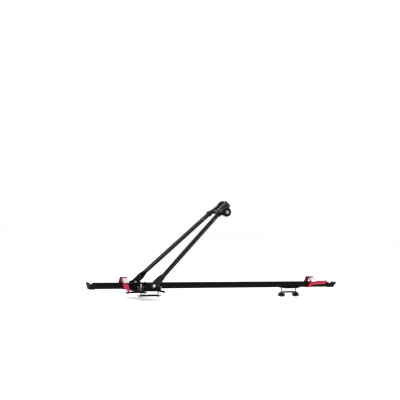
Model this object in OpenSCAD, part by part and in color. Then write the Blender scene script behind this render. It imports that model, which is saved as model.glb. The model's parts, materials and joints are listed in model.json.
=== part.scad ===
// Roof carrier: a tray rail on two clamped feet, with a folding mast that ends in a screw clamp.
// +X runs along the rail to its rear end, +Y to the far side, +Z up.
// The origin is the centre of the front seat, at the underside of the base pad.

/* [Rail] */
// Length of the tray rail between its end caps
rail_len = 1325; // [1200:5:1450]
// How far the rail's front end lies ahead of the front seat
front_overhang = 250; // [210:5:300]
// Height of the rail
rail_h = 28; // [24:1:36]
// Outside width of the rail's floor
rail_floor_w = 36; // [32:1:42]
// Outside width of the rail where its walls meet the lips
rail_top_w = 46; // [42:1:52]
// Width of each out-turned lip
rail_lip = 4; // [3:0.5:6]
// Thickness of the rail's sheet
rail_wall = 1.6; // [1.2:0.1:2.4]
// Distance between the front and the rear seat
seat_pitch = 834; // [780:2:890]

/* [End caps] */
// Length of the front cap's trough
front_cap_len = 22; // [18:1:40]
// How far the front stop leans outwards at its top
front_cap_lean = 9; // [4:1:24]
// Length of the rear cap's trough
rear_cap_len = 31; // [18:1:40]
// How far the rear stop leans outwards at its top
rear_cap_lean = 21; // [4:1:24]
// Wall of an end cap
cap_wall = 3; // [2.4:0.1:4]
// Height of a cap's sides above its underside
cap_side_h = 24; // [16:1:26]
// Height of the front stop above the cap's underside
front_stop_h = 34; // [28:1:42]
// Height of the rear stop above the cap's underside
rear_stop_h = 29; // [28:1:42]
// Length of the tongue inside the rail
cap_tongue = 26; // [20:1:36]
// How far a cap stands proud of the rail's outside
cap_proud = 2; // [1:0.5:3]

/* [Front base] */
// Length of the base plate along the rail
base_w = 116; // [112:1:130]
// Length of the base plate across the rail
base_span = 258; // [246:2:280]
// Thickness of the base plate and of the rear saddle
base_t = 3; // [2.5:0.5:5]
// Depth of the base plate's folded edges
base_fold = 11; // [8:1:16]
// Thickness of the pads under the base and the saddle
pad_t = 3; // [2:0.5:5]
// Length across the rail of the pad under the base
base_pad_span = 172; // [150:2:176]

/* [Seat clamps] */
// Gap between an upper and a lower pad as shown
grip_h = 16; // [12:1:24]
// Distance between the two bolts of a clamp
bolt_pitch = 88; // [84:1:92]
// Distance of the front clamps from the rail's centre plane
clamp_y = 80; // [76:1:84]
// Diameter of the clamp bolts
stud_d = 8; // [7:0.5:9]
// Length of stud that shows above a wing nut
stud_show = 17; // [14:1:24]
// Width of the lower clamp plates
low_plate_w = 30; // [26:1:36]
// Thickness of the lower clamp plates
low_plate_t = 4; // [3:0.5:6]
// Thickness of the pads on the lower clamp plates
low_pad_t = 3; // [2:0.5:5]
// Distance between the tips of a wing nut's wings
wing_span = 37; // [32:1:38]
// Height of a wing nut up to the tips of its wings
wing_h = 15; // [12:1:18]
// Height of the rear clamp knobs
foot_knob_h = 15; // [12:1:20]
// Reach of a rear clamp knob's lobes from its axis
foot_knob_r = 20; // [17:1:24]

/* [Mast] */
// Angle of the mast above the rail as shown
mast_angle = 43.3; // [38:0.1:50]
// Place of the mast's pivot along the rail
pivot_x = 4; // [-6:1:10]
// Height of the mast's pivot above the base plate
pivot_h = 22; // [20:1:28]
// Distance of an arm's flattened foot from the centre plane
arm_base_y = 112; // [110:1:118]
// Distance of an arm's upper end from the centre plane
arm_top_y = 50; // [48:1:54]
// Distance from the pivot to the arms' upper ends
arm_len = 500; // [440:1:530]
// Diameter of the arms' tube
arm_d = 22; // [20:0.5:24]
// Wall of the arms' tube
arm_wall = 1.5; // [1.2:0.1:2]
// Width of an arm's flattened foot
lug_w = 34; // [28:1:36]
// Thickness of an arm's flattened foot
lug_t = 5; // [4:0.5:7]
// Distance from the pivot at which the flattening starts to open out
lug_len = 42; // [34:1:52]
// Length of the change from flat to round
blend_len = 36; // [28:1:50]
// Thickness of the pivot brackets
bracket_t = 4; // [3:0.5:5]
// Diameter of the pivot bolts
pivot_d = 8; // [7:0.5:9]
// Distance of the arm rivets from the arms' upper ends
rivet_back = 36; // [28:1:42]

/* [Clamp head] */
// Diameter that the jaws hold as shown
clamp_d = 40; // [32:1:44]
// Thickness of the jaw pads
jaw_pad_t = 4; // [3:0.5:6]
// Thickness of the jaws
jaw_t = 11; // [9:0.5:13]
// Width of the jaws along what they hold
jaw_w = 36; // [30:1:42]
// Turn of the jaws about the clamp screw, from the line of the mast
jaw_tilt = 7; // [0:1:10]
// Distance from the clamp screw to the middle of what the jaws hold
jaw_reach = 33; // [31:1:38]
// Distance from the arms' upper ends to the clamp screw, along the mast
screw_out = 34; // [33:1:40]
// Distance of the clamp screw below the line of the mast
screw_drop = 12; // [10:1:15]
// Diameter of the clamp screw
screw_d = 10; // [8:0.5:11]
// Opening travel of the near jaw
jaw_travel = 15; // [10:1:18]
// Diameter of the clamp knob
knob_d = 47; // [40:1:52]
// Thickness of the clamp knob's rim
knob_h = 18; // [14:1:24]

/* [Straps] */
// Width of the strap webbing
strap_w = 25; // [20:1:28]
// Thickness of the strap webbing
strap_t = 1.8; // [1.4:0.1:2.4]
// Height of the strap loops above the rail's lips
loop_h = 27; // [24:1:34]
// Width of the strap loops at their top
loop_w = 26; // [24:1:32]
// Distance of the front strap ahead of the front seat
front_strap_back = 103; // [95:1:130]
// Distance of the rear strap behind the rear seat
rear_strap_on = 128; // [115:1:150]

/* [Hidden] */
$fn = 64;
// Facets of a rounded corner in an outline
corner_steps = 5;
// Radial clearances: a running or threaded fit, a pressed piece, and a bolt in a plain hole
run_fit = 0.05;
press_fit = 0.02;
hole_fit = 0.35;
// Clearance of the webbing round the rail, and of a cap's tongue in it
soft_fit = 0.4;
tongue_fit = 0.2;
// Overlap that makes two solids of one piece meet, and a cut pass its faces
join = 0.5;
// How far a blend's ends stand inside the faces that they meet
seam = 0.6;
near = -1;
far = 1;
// Fastener proportions, for a thread of diameter d
function head_r(d) = 0.94 * d;
function head_h(d) = 0.66 * d;
function nut_h(d) = 0.8 * d;
function washer_r(d) = 1.05 * d;
washer_t = 1.6;
// Length of thread past a nut, and the turned face on a hexagon head
thread_show = 1.5;
head_face_t = 0.8;
head_face_rim = 1.6;
rail_bolt_d = 6;
dome_r = 9;
dome_h = 3.4;
rivet_d = 6;
rivet_head_r = 5;
rivet_head_h = 2.2;
// Levels, from the seats' plane up and down
rail_z = pad_t + base_t;
rail_top = rail_z + rail_h;
low_pad_z = -grip_h;
low_plate_z = low_pad_z - low_pad_t;
low_z = low_plate_z - low_plate_t;
pivot_z = rail_z + pivot_h;
wing_z = rail_z + washer_t;
// Half widths of the rail's section
floor_hw = rail_floor_w / 2;
top_hw = rail_top_w / 2;
lip_hw = top_hw + rail_lip;
rail_bend = 3;
rail_rear = rail_len - front_overhang;
// End caps: the root ties the tongue to the trough outside the rail, and the stop closes the trough
tongue_root = 5;
tongue_drop = 4;
stop_t = 4;
stop_round = 1.5;
stop_corner = 3;
// Seat clamp details
plate_edge = 12;
plate_corner = 8;
low_plate_len = bolt_pitch + 2 * plate_edge;
pad_gap = 0.4;
pad_len = bolt_pitch - 2 * (head_r(rail_bolt_d) + pad_gap);
pad_inset = 2;
saddle_w = 52;
base_corner = 5;
wing_body_r = 8;
wing_body_h = 9;
wing_body_taper = 1;
wing_t = 3.4;
wing_gap = 1.5;
wing_root = 3;
wing_toe = 2;
wing_edge = 5;
wing_blade = 7;
wing_round = 3;
foot_knob_neck = 2;
foot_knob_hub = 10;
foot_lobe_r = 6.5;
rear_bolt_tip = 2.5;
// Mast and pivot, from an arm's foot inwards to the centre plane
pivot_washer_t = 1;
lug_in_y = arm_base_y - lug_t / 2;
lug_out_y = arm_base_y + lug_t / 2;
ear_out_y = lug_in_y - pivot_washer_t;
ear_in_y = ear_out_y - bracket_t;
friction_rim = 3;
thrust_rim = 2;
// Ear of a bracket: its hump above the pivot, flat ahead and behind, and the shoulder in front of it
ear_half = 46;
ear_top = pivot_h + 12;
hump_front = 14;
hump_rear = 18;
shoulder = 16;
shoulder_drop = 8;
front_edge = bracket_t + 6;
rear_edge = bracket_t + 4;
ear_round = 10;
edge_round = 4;
foot_half = 33;
foot_w = 15;
foot_rivet_x = 22;
bush_wall = 2;
bush_r = pivot_d / 2 + bush_wall;
tube_start = lug_len + blend_len;
arm_lean = atan2(arm_base_y - arm_top_y, arm_len - tube_start);
tube_len = norm([arm_base_y - arm_top_y, arm_len - tube_start]);
bore_r = arm_d / 2 - arm_wall;
bore_floor = 2;
spigot_past = 12;
spigot_len = rivet_back + spigot_past;
collar_len = 10;
collar_wall = 4;
collar_r = arm_d / 2 + collar_wall;
// Clamp head, outwards from the middle of what the jaws hold
clamp_r = clamp_d / 2;
claw_in = clamp_r + jaw_pad_t;
claw_out = claw_in + jaw_t;
// A jaw's plate stands back from the claw's outside, and its nuts and clips sit in spot faces
plate_back = 1;
spot_depth = 0.5;
spot_rim = 1.5;
jaw_face = claw_out - plate_back;
spot_face = jaw_face - spot_depth;
// Feet of a jaw's plate at the claw's root
plate_foot_r = 5;
plate_foot_in = 1;
plate_foot_back = 4;
neck_in = 1;
screw_u = arm_len + screw_out;
screw_w = -screw_drop;
tie_out = 23;
tie_u = arm_len + tie_out;
tie_w = 3;
tie_d = 8;
tie_tube_r = 6;
tie_boss_r = 10;
screw_boss_r = 13;
screw_gap = 3;
claw_tip = 28;
claw_round = 11;
claw_root = acos((screw_d / 2 + screw_gap - jaw_reach) / claw_out);
claw_end = jaw_reach + (claw_in + jaw_t / 2) * cos(claw_tip) + jaw_t / 2;
pad_set_in = 6;
pad_tip = claw_tip + pad_set_in;
pad_root = claw_root - pad_set_in;
pad_side = 2;
pad_rib = 4;
pad_groove = 1.2;
block_gap = 2;
block_y = claw_out + jaw_travel + block_gap;
block_t = 12;
block_neck = 3;
block_boss_r = 18;
thrust_t = 1.5;
knob_hub_r = 10;
knob_gap = 1.5;
knob_hub_h = head_h(tie_d) + knob_gap;
knob_y = block_y + block_t + thrust_t;
knob_face_y = knob_y + knob_hub_h + knob_h;
knob_flutes = 8;
flute_r = 6;
flute_in = 2.6;
knob_round = 4;
knob_crown = 2;
knob_face_rim = 4;
lock_r = 8;
lock_len = 9;
key_slot = [2, 8, 4];
screw_stop = 1;
clip_t = 1.2;
clip_gap = 0.4;
clip_rim = 3;
clip_slot = 2;
clip_r = screw_d / 2 + clip_rim;
jaw_nut_wall = 3.5;
jaw_nut_r = screw_d / 2 + jaw_nut_wall;
// Straps: the near leg leans from the lip to the loop's top, and the buckle lies on it
leg_foot = [-(lip_hw + soft_fit + strap_t / 2), rail_top + soft_fit];
under_lip = [leg_foot[0], rail_top - rail_wall - soft_fit];
leg_head = [-loop_w / 2, rail_top + loop_h];
leg_lean = atan2(leg_head[1] - leg_foot[1], leg_head[0] - leg_foot[0]);
buckle_len = 20;
buckle_t = 1.5;
buckle_up = 12.5;
buckle_ear = 9;
buckle_ear_half = 4;
buckle_front = 1;
buckle_back = 2;
buckle_round = 3;
buckle_side = 1;
buckle_pin_d = 4;
buckle_pin_y = 3;
buckle_pin_z = 6;
pin_head = 0.8;
cam_r = 3.4;
cam_lobe_r = 1.5;
cam_fit = 0.3;
lever_len = 19;
lever_t = 2;
lever_rise = 2;
lever_round = 0.9;
webbing_gap = 0.3;
// Where the webbing's fixed end stops short of the buckle's head, how it leaves its foot,
// how far it rises over the loop's near corner, and the radii of its bends from the fixed end on
webbing_end = 2;
webbing_exit = 1;
loop_rise = 2;
loop_bends = [0, 1, 1, 4, 4, 1, 1, 7, 4, 3, 3];
tail_bend = 6;
back_run = strap_t + buckle_t + 2 * webbing_gap;
floor_leg = rail_z - soft_fit - strap_t / 2;
front_strap_x = -front_strap_back;
// The rear strap slides along the rail, and stays clear of the end cap's tongue
strap_gap = 2;
rear_strap_x = min(seat_pitch + rear_strap_on, rail_rear - cap_tongue - strap_w / 2 - strap_gap);
// How far the straps lie off their place where they pass under the rail
front_slant = 9;
rear_slant = -9;
// Points of the free ends, from a point beside the near lip: one hangs down, the other lies along the rail
tail_off = lip_hw + 9;
function tail_start(x) = [x, -tail_off, rail_top];
front_tail = [[2, 0, -14], [9, -2, -50]];
rear_tail = [[6, 1, -4], [34, 0, -3], [90, 3, -2]];
// Directions of the webbing's width along the free ends
front_tail_dirs = [[1, 0, 0.1], [0.9, -0.4, 0.1]];
rear_tail_dirs = [[0.7, 0, 0.7], [0.05, -0.6, 0.8], [0, -0.6, 0.8]];

// Helpers

function unit(v) = v / norm(v);

// Arc of radius r that replaces the corner at p between its neighbours a and b, in 2D or 3D
function corner(a, p, b, r) =
    r == 0 ? [p] :
    let (u = unit(a - p), v = unit(b - p), open = acos(u * v), turn = 180 - open,
         centre = p + unit(u + v) * r / sin(open / 2),
         s = p + u * r / tan(open / 2) - centre, e = p + v * r / tan(open / 2) - centre)
    [for (i = [0 : corner_steps])
        let (k = i / corner_steps) centre + (sin((1 - k) * turn) * s + sin(k * turn) * e) / sin(turn)];

// Closed outline with each corner rounded by its own radius
function rounded(pts, radii) =
    let (n = len(pts))
    [for (i = [0 : n - 1]) each corner(pts[(i + n - 1) % n], pts[i], pts[(i + 1) % n], radii[i])];

// Open path with its inner corners rounded
function rounded_path(pts, radii) =
    let (n = len(pts))
    [for (i = [0 : n - 1])
        each (i == 0 || i == n - 1 ? [pts[i]] : corner(pts[i - 1], pts[i], pts[i + 1], radii[i]))];

// Extrudes an outline in the XZ plane from y0 to y1
module across(y0, y1) {
    translate([0, y1, 0])
    rotate([90, 0, 0])
    linear_extrude(y1 - y0)
    children();
}

// Extrudes an outline in the YZ plane from x0 to x1
module lengthwise(x0, x1) {
    translate([x0, 0, 0])
    rotate([90, 0, 90])
    linear_extrude(x1 - x0)
    children();
}

// Cylinder along Y from y0 to y1
module pin_y(r, y0, y1) {
    translate([0, y1, 0])
    rotate([90, 0, 0])
    cylinder(h = y1 - y0, r = r);
}

// Plate with rounded corners, centred in X and Y, from z up
module plate(size_x, size_y, t, z, r) {
    translate([0, 0, z])
    linear_extrude(t)
    polygon(rounded([for (k = [[-1, -1], [1, -1], [1, 1], [-1, 1]]) [k[0] * size_x, k[1] * size_y] / 2],
                    [r, r, r, r]));
}

// Low dome of radius r and height h, standing on z = 0
module dome(r, h) {
    ball = (r * r + h * h) / (2 * h);
    edge = asin(r / ball);
    rotate_extrude()
    polygon(concat([[0, 0]], [for (i = [0 : corner_steps])
        let (a = edge * (1 - i / corner_steps)) [ball * sin(a), ball * cos(a) - ball + h]]));
}

// Hexagonal nut or head with a bore, standing on z = 0
module hexagon(r, h, bore) {
    difference() {
        cylinder(h = h, r = r, $fn = 6);
        translate([0, 0, -join])
        cylinder(h = h + 2 * join, r = bore);
    }
}

// Flat ring from z = 0 up
module ring(outer, inner, t) {
    difference() {
        cylinder(h = t, r = outer);
        translate([0, 0, -join])
        cylinder(h = t + 2 * join, r = inner);
    }
}

// Bolts of one clamp: children at its two places, x from the clamp's middle
module at_bolts() {
    for (x = [-1, 1] * bolt_pitch / 2)
        translate([x, 0, 0])
        children();
}

module at_rear_seat() {
    translate([seat_pitch, 0, 0])
    children();
}

// Mast frame: x along the mast from the pivot, y across, z square to the mast
module on_mast() {
    translate([pivot_x, 0, pivot_z])
    rotate([0, -mast_angle, 0])
    children();
}

// Frame of an arm's tube: z runs out along the tube, from its upper end
module on_arm(side) {
    translate([arm_len, side * arm_top_y, 0])
    rotate([0, 0, -side * arm_lean])
    rotate([0, 90, 0])
    children();
}

module at_screw() {
    translate([screw_u, 0, screw_w])
    children();
}

module at_tie() {
    translate([tie_u, 0, tie_w])
    children();
}

// Jaw frame: x from the clamp screw to the middle of what is held, z along what is held
module on_jaws() {
    at_screw()
    rotate([0, -jaw_tilt, 0])
    children();
}

// Rail and end caps

// Section of a trough: floor and leaning walls, grown outwards and cut at a height
function trough(grow, wall, height) =
    let (lean = (top_hw - floor_hw) / rail_h, fo = floor_hw + grow, fi = fo - wall, b = rail_bend)
    let (to = fo + lean * (height + grow), ti = to - wall)
    rounded([[-fo, -grow], [fo, -grow], [to, height], [ti, height],
             [fi, wall - grow], [-fi, wall - grow], [-ti, height], [-to, height]],
            [b, b, 0, 0, b / 2, b / 2, 0, 0]);

module lip(side) {
    translate([side > 0 ? top_hw - rail_wall - join : -lip_hw, rail_h - rail_wall])
    square([rail_lip + rail_wall + join, rail_wall]);
}

module rail() {
    color("#1a1a1b")
    difference() {
        translate([0, 0, rail_z])
        lengthwise(-front_overhang, rail_rear) {
            polygon(trough(0, rail_wall, rail_h));
            lip(near);
            lip(far);
        }
        at_bolts()
        translate([0, 0, rail_z - join])
        cylinder(h = rail_wall + 2 * join, r = rail_bolt_d / 2 + hole_fit);
        at_rear_seat()
        at_bolts()
        translate([0, 0, rail_z - join])
        cylinder(h = rail_wall + 2 * join, r = stud_d / 2 + hole_fit);
    }
}

// End cap for a rail end at x = 0, reaching out along +x
module end_cap(length, lean, stop_h) {
    side_z = cap_side_h - cap_proud;
    stop_z = stop_h - cap_proud;
    inside = rail_wall + tongue_fit;
    foot = floor_hw + cap_proud;
    waist = foot + (top_hw - floor_hw) / rail_h * cap_side_h;
    color("#111112")
    translate([0, 0, rail_z]) {
        lengthwise(0, length)
        polygon(trough(cap_proud, cap_wall, side_z));
        lengthwise(0, tongue_root)
        polygon(trough(cap_proud, cap_proud + inside + cap_wall, side_z - tongue_drop));
        lengthwise(-cap_tongue, join)
        polygon(trough(-inside, cap_wall, side_z - tongue_drop));
        intersection() {
            across(-lip_hw, lip_hw)
            polygon(rounded([[length - stop_t, -cap_proud], [length, -cap_proud],
                             [length + lean, stop_z], [length + lean - stop_t, stop_z]],
                            [0, stop_round, stop_round, stop_round]));
            lengthwise(0, length + lean + join)
            polygon(rounded([[-foot, -cap_proud], [foot, -cap_proud], [waist, side_z],
                             [foot, stop_z + join], [-foot, stop_z + join], [-waist, side_z]],
                            [rail_bend, rail_bend, 0, stop_corner, stop_corner, 0]));
        }
    }
}

module front_end_cap() {
    translate([-front_overhang, 0, 0])
    mirror([1, 0, 0])
    end_cap(front_cap_len, front_cap_lean, front_stop_h);
}

module rear_end_cap() {
    translate([rail_rear, 0, 0])
    end_cap(rear_cap_len, rear_cap_lean, rear_stop_h);
}

// Front base

module base_plate() {
    hw = base_w / 2;
    color("#161617")
    difference() {
        across(-base_span / 2, base_span / 2)
        polygon(rounded([[-hw, rail_z - base_fold], [-hw + base_t, rail_z - base_fold], [-hw + base_t, pad_t],
                         [hw - base_t, pad_t], [hw - base_t, rail_z - base_fold], [hw, rail_z - base_fold],
                         [hw, rail_z], [-hw, rail_z]],
                        [0, 0, base_corner - base_t, base_corner - base_t, 0, 0, base_corner, base_corner]));
        translate([0, 0, pad_t - join]) {
            at_bolts()
            cylinder(h = base_t + 2 * join, r = rail_bolt_d / 2 + hole_fit);
            for (side = [near, far])
                translate([0, side * clamp_y, 0])
                at_bolts()
                cylinder(h = base_t + 2 * join, r = stud_d / 2 + hole_fit);
            at_bracket_rivets()
            cylinder(h = base_t + 2 * join, r = rivet_d / 2 + run_fit);
        }
    }
}

// Pad under the base, with room for the heads of the bracket rivets
module base_pad() {
    color("#242424")
    difference() {
        plate(pad_len, base_pad_span, pad_t, 0, pad_inset);
        translate([0, 0, -join])
        at_bracket_rivets()
        cylinder(h = pad_t + 2 * join, r = rivet_head_r + hole_fit);
    }
}

// Carriage bolt through a floor at z: dome above, shank down by the given length
module carriage_bolt(d, z, shank) {
    translate([0, 0, z])
    dome(dome_r, dome_h);
    translate([0, 0, z - shank])
    cylinder(h = shank + join, r = d / 2);
}

module rail_bolts() {
    color("#b9bcc0")
    at_bolts()
    carriage_bolt(rail_bolt_d, rail_z + rail_wall, rail_wall + base_t + nut_h(rail_bolt_d) + thread_show);
}

module rail_nuts() {
    color("#b9bcc0")
    at_bolts()
    translate([0, 0, pad_t - nut_h(rail_bolt_d)])
    hexagon(head_r(rail_bolt_d), nut_h(rail_bolt_d), rail_bolt_d / 2 + run_fit);
}

module at_bracket_rivets() {
    for (side = [near, far], x = [-1, 1] * foot_rivet_x)
        translate([x, side * (ear_in_y - foot_w / 2), 0])
        children();
}

module bracket_rivets() {
    color("#3a3a3c")
    at_bracket_rivets() {
        translate([0, 0, pad_t])
        cylinder(h = base_t + bracket_t, r = rivet_d / 2);
        translate([0, 0, rail_z + bracket_t])
        dome(rivet_head_r, rivet_head_h);
        translate([0, 0, pad_t])
        mirror([0, 0, 1])
        dome(rivet_head_r, rivet_head_h);
    }
}

// Ear with a humped top beside an arm's foot, on a foot that is riveted to the base plate
module pivot_bracket(side) {
    color("#151516")
    difference() {
        union() {
            mirror([0, side < 0 ? 1 : 0, 0])
            translate([0, 0, rail_z])
            across(ear_in_y, ear_out_y)
            polygon(rounded([[-ear_half, 0], [ear_half, 0], [ear_half, rear_edge],
                             [pivot_x + hump_rear, ear_top], [pivot_x - hump_front, ear_top],
                             [-ear_half + shoulder, ear_top - shoulder_drop], [-ear_half, front_edge]],
                            [0, 0, edge_round, ear_round, ear_round, ear_round, edge_round]));
            translate([-foot_half, side > 0 ? ear_in_y - foot_w : -ear_in_y - join, rail_z])
            cube([2 * foot_half, foot_w + join, bracket_t]);
        }
        translate([pivot_x, 0, pivot_z])
        pin_y(pivot_d / 2 + run_fit, min(0, side * ear_out_y) - join, max(0, side * ear_out_y) + join);
        translate([0, 0, rail_z - join])
        at_bracket_rivets()
        cylinder(h = bracket_t + 2 * join, r = rivet_d / 2 + run_fit);
    }
}

module near_pivot_bracket() {
    pivot_bracket(near);
}

module far_pivot_bracket() {
    pivot_bracket(far);
}

// Children stand on the outer face of a side's pivot, z pointing outwards
module at_pivot(side, y) {
    translate([pivot_x, side * y, pivot_z])
    rotate([-side * 90, 0, 0])
    children();
}

module pivot_bolts() {
    color("#c9ccd0")
    for (side = [near, far])
        at_pivot(side, lug_out_y + washer_t) {
            cylinder(h = head_h(pivot_d), r = head_r(pivot_d), $fn = 6);
            translate([0, 0, head_h(pivot_d)])
            cylinder(h = head_face_t, r = head_r(pivot_d) - head_face_rim);
            shank = washer_t + lug_out_y - ear_in_y + nut_h(pivot_d) + thread_show;
            translate([0, 0, -shank])
            cylinder(h = shank, r = pivot_d / 2);
        }
}

module pivot_nuts() {
    color("#b9bcc0")
    for (side = [near, far])
        at_pivot(side, ear_in_y - nut_h(pivot_d))
        hexagon(head_r(pivot_d), nut_h(pivot_d), pivot_d / 2 + run_fit);
}

// A thick outer washer and a thin friction washer on each pivot
module pivot_washers() {
    color("#8c8f93")
    for (side = [near, far]) {
        at_pivot(side, lug_out_y)
        ring(head_r(pivot_d) + thrust_rim, pivot_d / 2 + run_fit, washer_t);
        at_pivot(side, ear_out_y)
        ring(head_r(pivot_d) + friction_rim, pivot_d / 2 + run_fit, pivot_washer_t);
    }
}

// Rear seat

module rear_saddle() {
    color("#161617")
    at_rear_seat()
    difference() {
        plate(low_plate_len, saddle_w, base_t, pad_t, plate_corner);
        at_bolts()
        translate([0, 0, pad_t - join])
        cylinder(h = base_t + 2 * join, r = stud_d / 2 + hole_fit);
    }
}

module rear_pad() {
    color("#242424")
    at_rear_seat()
    plate(pad_len, saddle_w - 2 * pad_inset, pad_t, 0, pad_inset);
}

module rear_clamp_bolts() {
    shank = rail_z + rail_wall - low_z + washer_t + foot_knob_neck + foot_knob_h + rear_bolt_tip;
    color("#b9bcc0")
    at_rear_seat()
    at_bolts()
    carriage_bolt(stud_d, rail_z + rail_wall, shank);
}

// Lower clamp plates, their pads and bolts

module low_plate() {
    color("#19191a")
    difference() {
        plate(low_plate_len, low_plate_w, low_plate_t, low_z, plate_corner);
        at_bolts()
        translate([0, 0, low_z - join])
        cylinder(h = low_plate_t + 2 * join, r = stud_d / 2 + hole_fit);
    }
}

module low_pad() {
    color("#242424")
    plate(pad_len, low_plate_w - 2 * pad_inset, low_pad_t, low_plate_z, pad_inset);
}

module front_bolts() {
    top = wing_z + wing_body_h + stud_show;
    color("#b9bcc0")
    at_bolts() {
        translate([0, 0, low_z])
        cylinder(h = top - low_z, r = stud_d / 2);
        translate([0, 0, low_z - head_h(stud_d)])
        cylinder(h = head_h(stud_d), r = head_r(stud_d), $fn = 6);
    }
}

module at_front_clamp(side) {
    translate([0, side * clamp_y, 0])
    children();
}

module near_clamp_plate() {
    at_front_clamp(near)
    low_plate();
}

module near_clamp_pad() {
    at_front_clamp(near)
    low_pad();
}

module near_clamp_bolts() {
    at_front_clamp(near)
    front_bolts();
}

module far_clamp_plate() {
    at_front_clamp(far)
    low_plate();
}

module far_clamp_pad() {
    at_front_clamp(far)
    low_pad();
}

module far_clamp_bolts() {
    at_front_clamp(far)
    front_bolts();
}

module rear_clamp_plate() {
    at_rear_seat()
    low_plate();
}

module rear_clamp_pad() {
    at_rear_seat()
    low_pad();
}

module rear_clamp_washers() {
    color("#b9bcc0")
    at_rear_seat()
    at_bolts()
    translate([0, 0, low_z - washer_t])
    ring(washer_r(stud_d), stud_d / 2 + hole_fit, washer_t);
}

module stud_washers() {
    color("#b9bcc0")
    for (side = [near, far])
        at_front_clamp(side)
        at_bolts()
        translate([0, 0, rail_z])
        ring(washer_r(stud_d), stud_d / 2 + hole_fit, washer_t);
}

// Nuts turned by hand

module wing_nut(side, end) {
    tip = wing_span / 2;
    root = wing_body_r - wing_root;
    color("#9a9da1")
    translate([end * bolt_pitch / 2, side * clamp_y, wing_z])
    difference() {
        union() {
            cylinder(h = wing_body_h, r1 = wing_body_r, r2 = wing_body_r - wing_body_taper);
            for (turn = [0, 180])
                rotate([0, 0, turn])
                across(-wing_t / 2, wing_t / 2)
                polygon(rounded([[root, wing_gap], [wing_body_r + wing_toe, wing_gap],
                                 [tip, wing_h - wing_edge], [tip, wing_h], [tip - wing_blade, wing_h],
                                 [root, wing_body_h - wing_body_taper]],
                                [0, wing_round, wing_round, wing_round, wing_round, 0]));
        }
        translate([0, 0, -join])
        cylinder(h = wing_h + 2 * join, r = stud_d / 2 + run_fit);
    }
}

module near_wing_nut_front() {
    wing_nut(near, -1);
}

module near_wing_nut_rear() {
    wing_nut(near, 1);
}

module far_wing_nut_front() {
    wing_nut(far, -1);
}

module far_wing_nut_rear() {
    wing_nut(far, 1);
}

// Knob with three lobes under the rear clamp plate
module foot_knob(end) {
    top = low_z - washer_t;
    color("#131314")
    at_rear_seat()
    translate([end * bolt_pitch / 2, 0, top])
    difference() {
        union() {
            translate([0, 0, -foot_knob_neck])
            cylinder(h = foot_knob_neck, r = foot_knob_hub);
            translate([0, 0, -foot_knob_neck - foot_knob_h])
            linear_extrude(foot_knob_h)
            for (turn = [0, 120, 240])
                rotate(turn)
                hull() {
                    circle(r = foot_knob_hub, $fn = 32);
                    translate([foot_knob_r - foot_lobe_r, 0])
                    circle(r = foot_lobe_r, $fn = 32);
                }
        }
        translate([0, 0, -foot_knob_neck - foot_knob_h - join])
        cylinder(h = foot_knob_neck + foot_knob_h + 2 * join, r = stud_d / 2 + run_fit);
    }
}

module rear_knob_front() {
    foot_knob(-1);
}

module rear_knob_rear() {
    foot_knob(1);
}

// Mast

module arm(side) {
    color("#0f0f10")
    on_mast()
    difference() {
        union() {
            across(side * arm_base_y - lug_t / 2, side * arm_base_y + lug_t / 2) {
                circle(r = lug_w / 2);
                translate([0, -lug_w / 2])
                square([lug_len, lug_w]);
            }
            hull() {
                translate([lug_len - join, side * arm_base_y - lug_t / 2 + seam, -lug_w / 2 + seam])
                cube([join, lug_t - 2 * seam, lug_w - 2 * seam]);
                on_arm(side)
                translate([0, 0, -tube_len])
                cylinder(h = 2 * join, r = arm_d / 2 - seam, $fn = 32);
            }
            on_arm(side)
            translate([0, 0, join - tube_len])
            cylinder(h = tube_len - join, r = arm_d / 2);
        }
        on_arm(side)
        translate([0, 0, bore_floor - tube_len])
        cylinder(h = tube_len, r = bore_r);
        on_arm(side)
        translate([0, 0, -rivet_back])
        pin_y(rivet_d / 2 + run_fit, -arm_d, arm_d);
        pin_y(bush_r + press_fit, min(0, side * lug_out_y) - join, max(0, side * lug_out_y) + join);
    }
}

module near_arm() {
    arm(near);
}

module far_arm() {
    arm(far);
}

module arm_bushes() {
    color("#d8d6cf")
    on_mast()
    for (side = [near, far])
        translate([0, side * lug_in_y, 0])
        rotate([-side * 90, 0, 0])
        ring(bush_r, pivot_d / 2 + run_fit, lug_t);
}

module arm_rivets() {
    color("#d0d2d6")
    on_mast()
    for (side = [near, far])
        on_arm(side)
        translate([0, 0, -rivet_back]) {
            pin_y(rivet_d / 2, -arm_d / 2 - join, arm_d / 2 + join);
            for (turn = [90, -90])
                rotate([turn, 0, 0])
                translate([0, 0, arm_d / 2])
                dome(rivet_head_r, rivet_head_h);
        }
}

// Spigot and collar that close an arm's upper end
module arm_end(side) {
    on_arm(side) {
        translate([0, 0, -spigot_len])
        cylinder(h = spigot_len + join, r = bore_r - run_fit);
        cylinder(h = collar_len, r = collar_r);
    }
}

module arm_end_cuts(side) {
    on_arm(side)
    translate([0, 0, -rivet_back])
    pin_y(rivet_d / 2 + run_fit, -arm_d, arm_d);
}

// Block at the near arm's end, outside the travel of the near jaw
module near_end_block() {
    color("#121213")
    on_mast()
    difference() {
        union() {
            arm_end(near);
            hull() {
                at_screw()
                pin_y(block_boss_r, -block_y - block_t, -block_y, $fn = 48);
                at_tie()
                pin_y(tie_boss_r, -block_y - block_t, -block_y, $fn = 32);
                translate([arm_len + collar_r, 0, 0])
                pin_y(collar_r - block_neck, -block_y - block_t, -block_y, $fn = 32);
            }
        }
        arm_end_cuts(near);
        at_screw()
        pin_y(screw_d / 2 + run_fit, -block_y - block_t - join, -block_y + join);
        at_tie()
        pin_y(tie_d / 2 + run_fit, -block_y - block_t - join, -block_y + join);
    }
}

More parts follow.
